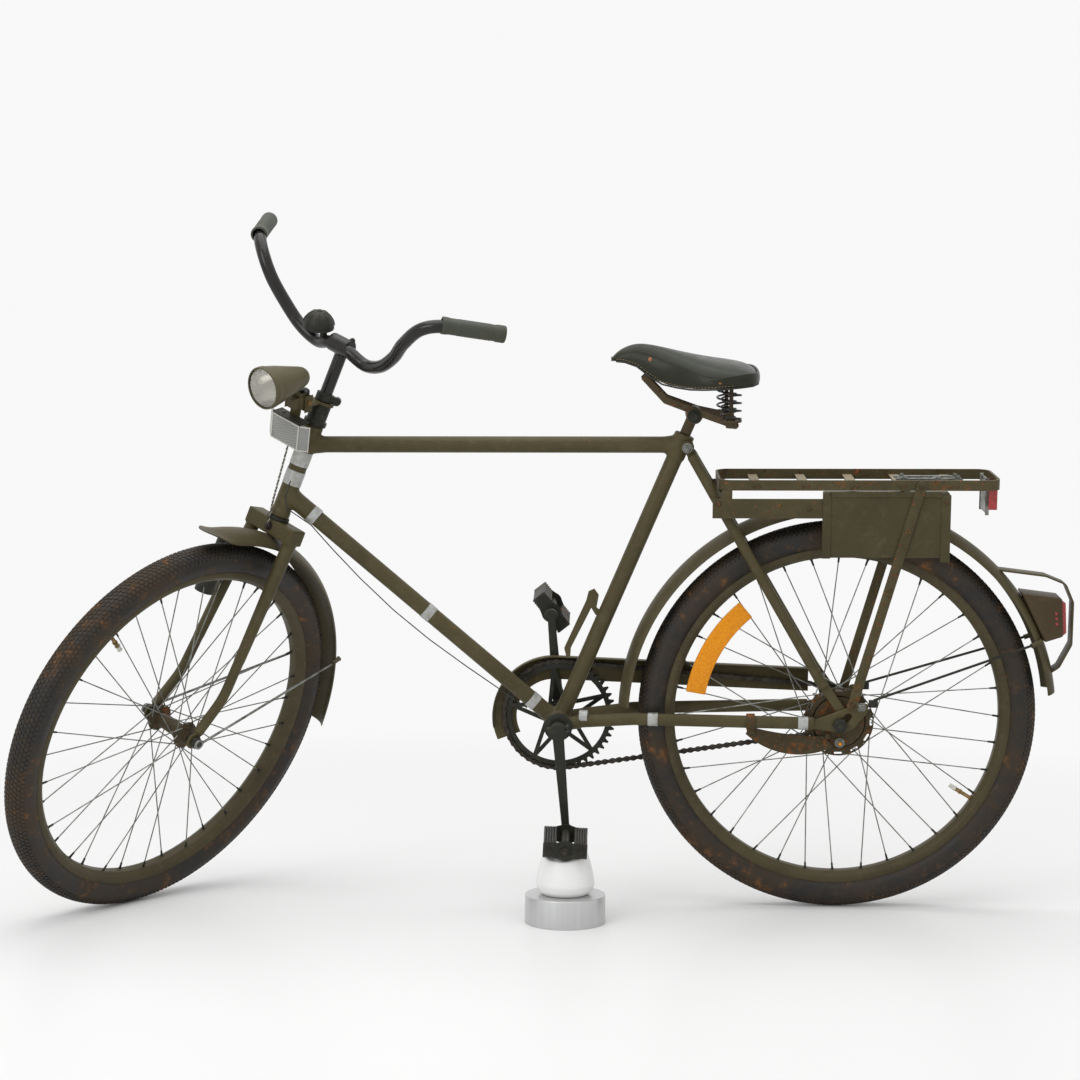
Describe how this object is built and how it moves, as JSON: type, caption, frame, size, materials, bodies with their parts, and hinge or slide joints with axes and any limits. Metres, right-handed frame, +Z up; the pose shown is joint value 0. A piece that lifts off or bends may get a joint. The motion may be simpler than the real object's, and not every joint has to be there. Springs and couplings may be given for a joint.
{
  "type": "military bicycle on a pedal plinth",
  "caption": "Olive roadster bicycle with drum brake hub, rack, tool box, dynamo lamps and sprung saddle, leaning with bars turned on a round plinth under its pedal.",
  "frame": {"origin": "on the floor, at the middle of the standing bicycle's footprint", "axes": "+X to the rear along the bicycle, +Y to the rider's right, +Z up; it leans towards -Y"},
  "size_m": [1.7868, 0.6053, 1.2198],
  "materials": {
    "olive_paint": "satin olive paint, worn and rust flecked",
    "rusty_paint": "olive paint gone brown with rust",
    "black_enamel": "gloss black enamel",
    "dark_metal": "dark greenish black paint",
    "zinc_wire": "dull zinc plating",
    "chain_steel": "oiled dark steel",
    "tyre_rubber": "dusty black rubber",
    "pedal_rubber": "worn rubber",
    "grip_rubber": "green grey rubber",
    "saddle_vinyl": "dark green vinyl",
    "lamp_glass": "frosted clear glass",
    "white_reflector": "white prismatic plastic",
    "red_reflector": "red prismatic plastic",
    "amber_reflector": "amber prismatic plastic",
    "lead_plastic": "plastic insulated lead",
    "plinth_metal": "brushed",
    "putty": "white putty"
  },
  "bodies": {
    "frame": {"head_tube": "olive_paint", "bottom_bracket": "olive_paint", "seat_tube": "olive_paint", "top_tube": "olive_paint", "down_tube": "olive_paint", "chainstay_left": "olive_paint", "chainstay_right": "olive_paint", "seat_stay_left": "olive_paint", "seat_stay_right": "olive_paint", "brake_plate": "rusty_paint", "rear_axle": "dark_metal", "chain": "chain_steel", "chain_guard": "olive_paint", "rear_mudguard": "olive_paint", "rear_guard_stays": "zinc_wire", "tail_lamp": "olive_paint", "tail_lamp_guard": "black_enamel", "rack_deck": "olive_paint", "rack_strut_left": "olive_paint", "rack_strut_right": "olive_paint", "rack_brace": "olive_paint", "tool_box": "olive_paint", "rack_clip": "zinc_wire", "rear_reflector": "red_reflector", "saddle_frame": "rusty_paint", "saddle_springs": "black_enamel", "saddle_cover": "saddle_vinyl", "tail_lead": "lead_plastic", "plinth_puck": "plinth_metal", "plinth_putty": "putty"},
    "rear_wheel": {"rear_tyre": "tyre_rubber", "rear_rim": "olive_paint", "rear_hub": "rusty_paint", "rear_spokes": "zinc_wire", "spoke_reflector": "amber_reflector"},
    "crank": {"chainwheel": "dark_metal", "crank_arms": "dark_metal", "left_pedal": "pedal_rubber"},
    "right_pedal": {"right_pedal": "pedal_rubber"},
    "steering": {"fork": "olive_paint", "front_axle": "dark_metal", "headset": "olive_paint", "stem": "black_enamel", "handlebar": "black_enamel", "grips": "grip_rubber", "bell": "dark_metal", "headlamp_shell": "olive_paint", "headlamp_lens": "lamp_glass", "lamp_bracket": "olive_paint", "front_reflector": "white_reflector", "dynamo": "dark_metal", "dynamo_lead": "lead_plastic", "front_mudguard": "olive_paint", "front_guard_stays": "zinc_wire"},
    "front_wheel": {"front_tyre": "tyre_rubber", "front_rim": "olive_paint", "front_hub": "rusty_paint", "front_spokes": "zinc_wire"}
  },
  "joints": [
    {"name": "steering_turn", "type": "hinge", "parent": "frame", "child": "steering", "pos_m": [-0.62244, 0.04481, 0.31483], "axis": [0.3705, -0.1172, 0.9214], "range_deg": [-129, 21]},
    {"name": "front_wheel_spin", "type": "hinge", "parent": "steering", "child": "front_wheel", "pos_m": [-0.65847, -0.00997, 0.32235], "axis": [-0.7515, 0.5453, 0.3715], "continuous": true},
    {"name": "rear_wheel_spin", "type": "hinge", "parent": "frame", "child": "rear_wheel", "pos_m": [0.49225, 0.04132, 0.34226], "axis": [0, 0.992, 0.1262], "continuous": true},
    {"name": "crank_spin", "type": "hinge", "parent": "frame", "child": "crank", "pos_m": [0.00929, 0.04325, 0.32707], "axis": [0, 0.992, 0.1262], "continuous": true},
    {"name": "right_pedal_spin", "type": "hinge", "parent": "crank", "child": "right_pedal", "pos_m": [-0.00499, 0.02111, 0.50109], "axis": [0, 0.992, 0.1262], "continuous": true}
  ]
}
